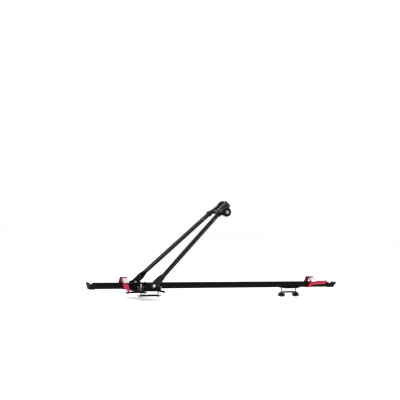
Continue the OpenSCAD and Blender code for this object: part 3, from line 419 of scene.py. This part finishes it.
finishes = {
    "black_sheet": coated("sheet_black", 0.0030, 0.0060, 0.68, 620, 0.00006, specular=0.06, worn=0.03),
    "gloss_tube": coated("tube_black", 0.0016, 0.0030, 0.20, 260, 0.00002, specular=0.18, wear=0.2),
    "black_cast": coated("cast_black", 0.0030, 0.0065, 0.44, 420, 0.00012, specular=0.16, worn=0.06),
    "black_moulding": moulded("moulded_black", (0.0056, 0.0052, 0.0064, 1), 0.66, 1500, 0.00008,
                              specular=0.07, dust=0.015),
    "rubber": moulded("pad_rubber", (0.011, 0.0105, 0.010, 1), 0.78, 1100, 0.00010, specular=0.2, dust=0.02),
    "zinc": plated("bright_zinc", (0.66, 0.66, 0.64, 1), (0.40, 0.40, 0.38, 1), 0.30),
    "dull_zinc": plated("dull_zinc", (0.13, 0.125, 0.12, 1), (0.065, 0.062, 0.06, 1), 0.44),
    "dark_steel": plated("dark_steel", (0.035, 0.034, 0.034, 1), (0.014, 0.014, 0.014, 1), 0.40),
    "black_rivet": coated("rivet_black", 0.008, 0.016, 0.36, 500, 0.00004, specular=0.4, worn=0.22, wear=0.9),
    "red_webbing": woven("red_webbing", (0.64, 0.034, 0.082, 1), (0.20, 0.006, 0.018, 1)),
    "buckle_steel": plated("bright_buckle", (0.88, 0.87, 0.88, 1), (0.66, 0.65, 0.66, 1), 0.22,
                           (6, 0.5, 0.5)),
    # Painted shade: the dull buckle steel is the bright buckle steel made darker to stand for steel in shade,
    # and it is also a little rougher
    "dull_buckle": plated("dull_buckle", (0.34, 0.34, 0.35, 1), (0.19, 0.19, 0.19, 1), 0.40, (6, 0.5, 0.5)),
    "bronze": plated("bronze", (0.62, 0.42, 0.17, 1), (0.36, 0.23, 0.09, 1), 0.32),
    "white_nylon": moulded("white_nylon", (0.70, 0.68, 0.62, 1), 0.45, 900, 0.00004,
                           specular=0.45, dust=0.04),
    "lock_face": plated("lock_face", (0.46, 0.42, 0.37, 1), (0.28, 0.25, 0.22, 1), 0.36, metallic=0.4),
}


# Rail, base and feet

def tray_rail():
    """Folded channel with a flat floor, leaning walls and out-turned lips."""
    low = rail_h - rail_wall
    wall_out = floor_hw + (top_hw - floor_hw) * low / rail_h
    half = [(lip_hw, rail_h), (lip_hw, low), (wall_out, low), (floor_hw, 0)]
    inner = [(floor_hw - rail_wall, rail_wall), (top_hw - rail_wall, rail_h)]
    section = (half + [(-y, z) for y, z in reversed(half)]
               + [(-y, z) for y, z in reversed(inner)] + inner)
    half_bends, inner_bends = [0, 0, 1.2, 3], [1.4, 2.6]
    radii = half_bends + half_bends[::-1] + inner_bends[::-1] + inner_bends
    outline = rounded([Vector((rail_front, y, rail_z + z)) for y, z in section], radii, 6)
    return ease(extruded(outline, (rail_rear - rail_front, 0, 0)), width=0.35, over=40)


def ribbed_pad(node, ribs_up):
    """Rubber pad in its node's place, with ribs along x on the face that grips."""
    low, high = (v * 1000 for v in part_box(node))
    rib_pitch, margin, groove = 4.3, 1.5, 0.8
    count = round((high.y - low.y) / rib_pitch)
    pitch = (high.y - low.y - 2 * margin) / count
    grip, back = (high.z, low.z) if ribs_up else (low.z, high.z)
    floor = grip + (-groove if ribs_up else groove)
    flanks = ((0.16, grip), (0.28, floor), (0.72, floor), (0.84, grip))
    outline = [(low.x, low.y, back), (low.x, low.y, grip)]
    for i in range(count):
        y = low.y + margin + i * pitch
        outline += [(low.x, y + pitch * k, z) for k, z in flanks]
    outline += [(low.x, high.y, grip), (low.x, high.y, back)]
    return ease(extruded([Vector(p) for p in outline], (high.x - low.x, 0, 0)), width=0.25, over=40,
                segments=1)


def carriage_bolt(radius, pitch, top, tip):
    """Domed bolt whose head sits on a floor at top and whose thread ends at tip."""
    rod = placed(thread(radius, pitch, -top, -tip), Matrix.Rotation(pi, 4, "X"))
    return joined(shifted(dome(carriage_r, carriage_h), z=top), rod)


def stud_bolt(head_z, tip):
    """Hexagon bolt that stands up through a clamp."""
    in_head = 5
    head = shifted(hexagon(m8_head_r, m8_head_h), z=head_z)
    return joined(head, thread(stud_r, stud_pitch, head_z + in_head, tip))


def both_ends(make, x=0, y=0):
    """Two of a kind, at the bolt holes in front of and behind a place."""
    return joined(shifted(make(), x - bolt_x, y), shifted(make(), x + bolt_x, y))


piece("tray_rail", tray_rail(), "rail")
eased_pieces({"front_end_cap": 0.9, "rear_end_cap": 0.9, "base_plate": 0.5, "near_pivot_bracket": 0.7,
              "far_pivot_bracket": 0.7, "rear_saddle": 0.5, "near_clamp_plate": 0.6,
              "far_clamp_plate": 0.6, "rear_clamp_plate": 0.6})
for node in ("base_pad", "rear_pad"):
    piece(node + "_ribbed", ribbed_pad(node, False), node)
for node in ("near_clamp_pad", "far_clamp_pad", "rear_clamp_pad"):
    piece(node + "_ribbed", ribbed_pad(node, True), node)

floor_z = rail_z + rail_wall
rail_bolt_r, rail_bolt_pitch, rail_bolt_tip, rail_nut_z = 3, 1, -3.3, -1.8
rear_bolt_tip, stud_head_z, stud_tip = -44.1, -28.28, 33.6
piece("rail_floor_bolts",
      both_ends(lambda: carriage_bolt(rail_bolt_r, rail_bolt_pitch, floor_z, rail_bolt_tip)), "rail_bolts")
piece("rail_floor_nuts", both_ends(lambda: shifted(hexagon(m6_nut_r, m6_nut_h), z=rail_nut_z)), "rail_nuts")
piece("rear_foot_bolts",
      both_ends(lambda: carriage_bolt(stud_r, stud_pitch, floor_z, rear_bolt_tip), seat_pitch),
      "rear_clamp_bolts")
for side, y in (("near", -clamp_y), ("far", clamp_y)):
    piece(side + "_foot_bolts", both_ends(lambda: stud_bolt(stud_head_z, stud_tip), y=y),
          side + "_clamp_bolts")
    eased_pieces({f"{side}_wing_nut_{end}": 0.7 for end in ("front", "rear")})
eased_pieces({"stud_washers": 0.25, "rear_clamp_washers": 0.25, "rear_knob_front": 1.4,
              "rear_knob_rear": 1.4, "pivot_washers": 0.2, "pivot_nuts": 0.3})


def bracket_rivet(x, y):
    """Rivet with a head on the bracket and a head under the base."""
    bracket_top, base_foot = 10, 3
    under = placed(dome(rivet_r, rivet_h), Matrix.Rotation(pi, 4, "X"))
    return joined(shifted(dome(rivet_r, rivet_h), x, y, bracket_top), shifted(under, x, y, base_foot))


rivet_x, rivet_y = 22, 97
piece("base_rivets",
      joined(*[bracket_rivet(x, y) for x in (-rivet_x, rivet_x) for y in (-rivet_y, rivet_y)]),
      "bracket_rivets")


# Mast

def pivot_bolt(side):
    """Hexagon bolt through a pivot bracket, with a raised face on its head."""
    seat_y, shank, face_z = 116.1, 19.5, 5.2
    turn = z_to_far if side > 0 else z_to_near
    face = lathe([(0, 0), (5.6, 0), (5.9, 0.3), (5.4, 0.8), (0, 0.8)])
    head = joined(hexagon(m8_head_r, m8_head_h), shifted(face, z=face_z))
    rod = placed(thread(stud_r, stud_pitch, 0, shank), Matrix.Rotation(pi, 4, "X"))
    return placed(joined(head, rod), Matrix.Translation((pivot.x, side * seat_y, pivot.z)), turn)


def mast_arm(side):
    """Tube that is pressed flat at its foot, with a round end about the pivot."""
    rings, points = [], 40
    tip, mouth_steps, tube_steps, past_mouth = 16.98, 16, 12, 4
    tilt_before, tilt_run = 8, 12
    stations = ([-tip * cos(radians(a)) for a in range(0, 91, 10)]
                + [lug_len * k for k in (0.25, 0.5, 0.75, 0.9)]
                + [lug_len + (tube_start - lug_len) * i / mouth_steps for i in range(mouth_steps + 1)]
                + [tube_start + past_mouth + (arm_len - tube_start - past_mouth) * i / tube_steps
                   for i in range(tube_steps + 1)])
    lean = (arm_base_y - arm_top_y) / (arm_len - tube_start)
    for x in stations:
        open_up = max(0, min(1, (x - lug_len) / (tube_start - lug_len)))
        open_up = open_up ** 2 * (3 - 2 * open_up)
        half_w = sqrt(max(0, (lug_w / 2) ** 2 - x ** 2)) if x < 0 else lug_w / 2
        half_w += (arm_r - half_w) * open_up
        half_t = lug_t / 2 + (arm_r - lug_t / 2) * open_up
        blunt = 2 / (5 - 3 * open_up)
        y = arm_base_y - lean * max(0, x - tube_start)
        tilt = lean * max(0, min(1, (x - tube_start + tilt_before) / tilt_run))
        ring = []
        for i in range(points):
            a = 2 * pi * (i + 0.5) / points
            across = abs(cos(a)) ** blunt * (1 if cos(a) > 0 else -1) * half_t
            up = abs(sin(a)) ** blunt * (1 if sin(a) > 0 else -1) * half_w
            ring.append(Vector((x + across * tilt, side * (y + across), up)))
        rings.append(ring)
    return placed(lofted(rings), on_mast)


def arm_rivet(side):
    """Rivet heads on both sides of an arm, near its upper end."""
    from_end, sink = 36, 0.7
    lean = atan2(arm_base_y - arm_top_y, arm_len - tube_start)
    along = Matrix.Translation((arm_len, side * arm_top_y, 0)) @ Matrix.Rotation(-side * lean, 4, "Z")
    out = Matrix.Translation((0, 0, arm_r - sink))
    heads = [placed(dome(rivet_r, rivet_h), along, Matrix.Translation((-from_end, 0, 0)), turn, out)
             for turn in (z_to_near, z_to_far)]
    return placed(joined(*heads), on_mast)


piece("pivot_bolts_threaded", joined(pivot_bolt(-1), pivot_bolt(1)), "pivot_bolts")
piece("near_mast_arm", mast_arm(-1), "near_arm", smooth_under=50)
piece("far_mast_arm", mast_arm(1), "far_arm", smooth_under=50)
piece("arm_rivet_heads", joined(arm_rivet(-1), arm_rivet(1)), "arm_rivets")
eased_pieces({"arm_bushes": 0.2, "near_end_block": 1.0, "far_jaw": 0.9, "near_jaw": 0.9,
              "far_jaw_pad": 0.25, "near_jaw_pad": 0.25, "tie_tube": 0.3, "tie_nut": 0.3, "jaw_nut": 0.3,
              "thrust_washer": 0.2, "screw_clip": 0.2, "clamp_knob": 0.9, "lock_core": 0.4})

bezel = lathe_ring([(8.15, 89.6), (10.6, 89.6), (10.6, 90.5), (10.1, 90.9), (8.7, 90.9), (8.15, 90.4)], 48)
piece("lock_bezel", placed(bezel, at_screw, z_to_near), like="clamp_knob")
tie_head_z, tie_in_head, tie_tip = 64, 0.5, 41.4
tie_head = shifted(hexagon(m8_head_r, m8_head_h), z=tie_head_z)
tie_rod = placed(thread(stud_r, stud_pitch, -tie_head_z - tie_in_head, tie_tip), Matrix.Rotation(pi, 4, "X"))
piece("tie_bolt_threaded", placed(joined(tie_head, tie_rod), at_tie, z_to_near), "tie_bolt")
screw_r, screw_pitch, screw_low, screw_high = 5, 2.5, -36.6, 80.2
screw = thread(screw_r, screw_pitch, screw_low, screw_high, steps=28)
piece("clamp_screw_threaded", placed(screw, at_screw, z_to_near), "clamp_screw")


# Straps and buckles

loop_hw, loop_h = 13, 27
buckle_t, buckle_gap, buckle_up = 1.5, 0.6, 12.5
leg_foot = Vector((-(lip_hw + strap_gap + strap_t / 2), rail_z + rail_h + strap_gap))
leg_head = Vector((-loop_hw, rail_z + rail_h + loop_h))
leg_lean = atan2(leg_head.y - leg_foot.y, leg_head.x - leg_foot.x)
back_run = strap_t + buckle_t + buckle_gap


def buckle_point(up, out):
    """Point on the buckle's own axes, in the plane across the rail."""
    along, away = Vector((cos(leg_lean), sin(leg_lean))), Vector((-sin(leg_lean), cos(leg_lean)))
    return leg_foot + along * (buckle_up + up) + away * (back_run + out)


def on_buckle(x):
    """Buckle's own axes: x across the webbing, y up the near leg, z outwards."""
    return (Matrix.Translation((x, leg_foot.x, leg_foot.y)) @ Matrix.Rotation(leg_lean, 4, "X")
            @ Matrix.Translation((0, buckle_up, back_run)))


def strap_route(x, slant, tail):
    """Webbing's middle line from behind the buckle round the rail, through the buckle and out to its tail."""
    sewn_end, buckle_top, buckle_foot, tail_out = 8, 10, -11, 9
    lip = Vector((leg_foot.x, rail_z + rail_h - rail_wall - strap_gap))
    under = rail_z - strap_gap - strap_t / 2
    side = floor_hw + strap_gap + strap_t
    loop = [buckle_point(sewn_end, -back_run), leg_foot, lip, Vector((-side, under)), Vector((side, under)),
            Vector((-lip.x, lip.y)), Vector((-leg_foot.x, leg_foot.y)), Vector((-leg_head.x, leg_head.y)),
            leg_head + Vector((-2, 2)), buckle_point(buckle_top, 0), buckle_point(buckle_foot, 0)]
    bends = [0, 1, 1, 4, 4, 1, 1, 7, 4, 3, 3] + [6] * len(tail)
    points = [Vector((x + (slant if p.y < rail_z else 0), p.x, p.y)) for p in loop]
    points += [Vector((x, -lip_hw - tail_out, rail_z + rail_h)) + Vector(p) for p, way in tail]
    ways = [Vector((1, 0, 0))] * len(loop) + [Vector(way).normalized() for p, way in tail]
    route, facing = [points[0]], [ways[0]]
    for i in range(1, len(points) - 1):
        arc = bent(points[i - 1], points[i], points[i + 1], bends[i], 6)
        route += arc
        facing += [ways[i]] * len(arc)
    return route + [points[-1]], facing + [ways[-1]]


def running_length(route):
    """Distance from the start at each point of a route."""
    lengths = [0]
    for a, b in zip(route, route[1:]):
        lengths.append(lengths[-1] + (b - a).length)
    return lengths


def webbing(name, node, x, slant, tail, cut=0):
    """Flat ribbon along a strap's route, mapped in metres for its weave; its end is cut off at a slant."""
    route, facing = strap_route(x, slant, tail)
    lengths = running_length(route)
    row_step, across, tiny = 1.6, 10, 1e-6
    rows = ceil(lengths[-1] / row_step)
    bm = bmesh.new()
    bmesh.ops.create_grid(bm, x_segments=across, y_segments=rows, size=0.5)
    sheet = bm.loops.layers.uv.new("webbing")
    spot = {}
    for v in bm.verts:
        offset = v.co.x * strap_w
        s = lengths[-1] * (v.co.y + 0.5)
        into_end = max(0, 1 - (lengths[-1] - s) / (1.5 * cut)) if cut else 0
        s -= cut * (0.5 - v.co.x) * into_end
        k = max(i for i in range(len(route) - 1) if lengths[i] <= s + tiny)
        t = min(1, (s - lengths[k]) / max(tiny, lengths[k + 1] - lengths[k]))
        spot[v] = (offset / 1000, s / 1000)
        v.co = route[k].lerp(route[k + 1], t) + facing[k].lerp(facing[k + 1], t).normalized() * offset
    for face in bm.faces:
        for corner in face.loops:
            corner[sheet].uv = spot[corner.vert]
    obj = piece(name, bm, node)
    obj.modifiers.clear()
    thick = obj.modifiers.new("thickness", "SOLIDIFY")
    thick.thickness, thick.offset = strap_t / 1000, 0
    soft = obj.modifiers.new("soft_edge", "BEVEL")
    soft.width, soft.segments, soft.limit_method, soft.angle_limit = 0.0005, 2, "ANGLE", radians(50)


webbing("front_webbing", "front_strap", front_strap_x, 9,
        [((2, 0, -14), (1, 0, 0.1)), ((9, -2, -50), (0.9, -0.4, 0.1))], 34)
webbing("rear_webbing", "rear_strap", rear_strap_x, -9,
        [((6, 1, -4), (0.7, 0, 0.7)), ((34, 0, -3), (0.05, -0.6, 0.8)), ((90, 3, -2), (0, -0.6, 0.8))], 6)


def grip_lever(node, x):
    """Cam whose thumb lever has raised ribs and a rolled edge."""
    lever_y, lever_z, lever_rise, lever_run = -16, 11.4, -2, 19
    rib_count, rib_pitch, rib_start, rib_len, rib_w, rib_h = 4, 2, 3.2, 20, 1.0, 1.2
    lever_lean = Matrix.Rotation(atan2(lever_rise, lever_run), 4, "X")
    tip = on_buckle(x) @ Matrix.Translation((0, lever_y, lever_z)) @ lever_lean
    ribs = []
    for i in range(rib_count):
        rib = bmesh.new()
        bmesh.ops.create_cube(rib, size=1, matrix=Matrix.Diagonal((rib_len - 2 * i, rib_w, rib_h, 1)))
        up_lever = Matrix.Translation((0, rib_start + rib_pitch * i, 0))
        ribs.append(placed(ease(rib, 0.4, segments=3), tip, up_lever))
    rolled = lathe([(0, -13), (1.1, -13), (1.4, -12.7), (1.4, 12.7), (1.1, 13), (0, 13)], 20)
    placed(rolled, tip, Matrix.Translation((0, 0.4, -0.9)), Matrix.Rotation(pi / 2, 4, "Y"))
    return joined(eased_copy(node, 0.35), rolled, *ribs)


def end_rivets(x):
    """Two rivet heads that hold the webbing's sewn end behind the buckle."""
    up = 3
    behind = on_buckle(x) @ Matrix.Translation((0, up, -back_run - strap_t / 2)) @ Matrix.Rotation(pi, 4, "X")
    return joined(*[placed(dome(strap_rivet_r, strap_rivet_h), behind,
                           Matrix.Translation((side * strap_rivet_x, 0, 0))) for side in (-1, 1)])


for end, x in (("front", front_strap_x), ("rear", rear_strap_x)):
    eased_pieces({end + "_buckle": 0.35, end + "_buckle_pin": 0.4})
    piece(end + "_cam_lever", grip_lever(end + "_buckle_cam", x), end + "_buckle_cam")
    piece(end + "_strap_rivets", end_rivets(x), like=end + "_buckle_pin")


# Studio

def seen_directly(tree):
    """1 where a surface is seen straight or in a reflection, 0 where it only lights the object."""
    ray = tree.nodes.new("ShaderNodeLightPath").outputs
    seen = ray["Is Camera Ray"]
    for name in ("Is Glossy Ray", "Is Transmission Ray"):
        larger = tree.nodes.new("ShaderNodeMath")
        larger.operation = "MAXIMUM"
        tree.links.new(seen, larger.inputs[0])
        tree.links.new(ray[name], larger.inputs[1])
        seen = larger.outputs[0]
    return seen


def studio_floor():
    """Pale floor just under the part, which shows white and keeps the shadow."""
    half_size, below, glow = 30, 0.0002, 0.56
    f = Finish("studio_floor", Base_Color=(0.86, 0.86, 0.86, 1), Roughness=0.9, Specular_IOR_Level=0.0,
               Emission_Color=(1, 1, 1, 1))
    seen = seen_directly(f.material.node_tree)
    f.links.new(f.spread(seen, 0, 1, 0, glow), f.shader.inputs["Emission Strength"])
    bm = bmesh.new()
    bmesh.ops.create_grid(bm, x_segments=1, y_segments=1, size=half_size)
    bmesh.ops.translate(bm, vec=(0.4, 0, cad_box[0].z - below), verts=bm.verts)
    mesh = bpy.data.meshes.new("studio_floor")
    bm.to_mesh(mesh)
    bm.free()
    mesh.materials.append(f.material)
    floor = bpy.data.objects.new("studio_floor", mesh)
    bpy.context.scene.collection.objects.link(floor)


def studio_world():
    """Even light all round, shown as white."""
    world = bpy.data.worlds.new("studio")
    world.use_nodes = True
    bpy.context.scene.world = world
    nodes, links = world.node_tree.nodes, world.node_tree.links
    level = nodes.new("ShaderNodeMapRange")
    level.inputs["To Min"].default_value = 0.5
    level.inputs["To Max"].default_value = 1.0
    links.new(seen_directly(world.node_tree), level.inputs["Value"])
    backdrop = nodes["Background"]
    backdrop.inputs["Color"].default_value = (1, 1, 1, 1)
    links.new(level.outputs[0], backdrop.inputs["Strength"])


def soft_lamp(name, place, aim, size, watts):
    lamp = bpy.data.lights.new(name, "AREA")
    lamp.shape, lamp.size, lamp.energy = "SQUARE", size, watts
    obj = bpy.data.objects.new(name, lamp)
    facing = (Vector(place) - Vector(aim)).to_track_quat("Z", "Y").to_matrix().to_4x4()
    obj.matrix_world = Matrix.Translation(place) @ facing
    bpy.context.scene.collection.objects.link(obj)


def photo_camera():
    """Camera at the photograph's place: azimuth, elevation and roll, aimed as the picture is framed."""
    place = (-1.5531, -3.5596, 0.3281)
    azimuth, elevation, roll = radians(-27.41), radians(-1.62), 0.031
    back = Vector((sin(azimuth) * cos(elevation), -cos(azimuth) * cos(elevation), sin(elevation)))
    right = (-back).cross(Vector((0, 0, 1))).normalized()
    up = right.cross(-back)
    turned_right, turned_up = right * cos(roll) + up * sin(roll), up * cos(roll) - right * sin(roll)
    data = bpy.data.cameras.new("photo_camera")
    data.sensor_width, data.lens = 36, 72.727
    camera = bpy.data.objects.new("photo_camera", data)
    axes = Matrix((turned_right, turned_up, back)).transposed().to_4x4()
    camera.matrix_world = Matrix.Translation(place) @ axes
    bpy.context.scene.collection.objects.link(camera)
    bpy.context.scene.camera = camera


studio_floor()
studio_world()
soft_lamp("key", (-1.6, -2.0, 2.4), (0.3, 0, 0.2), 1.6, 70)
soft_lamp("fill", (2.6, -2.4, 1.6), (0.5, 0, 0.2), 1.8, 36)
soft_lamp("rim", (0.6, 2.4, 2.2), (0.4, 0, 0.2), 1.6, 40)
photo_camera()
bpy.context.scene.view_settings.view_transform = "Standard"
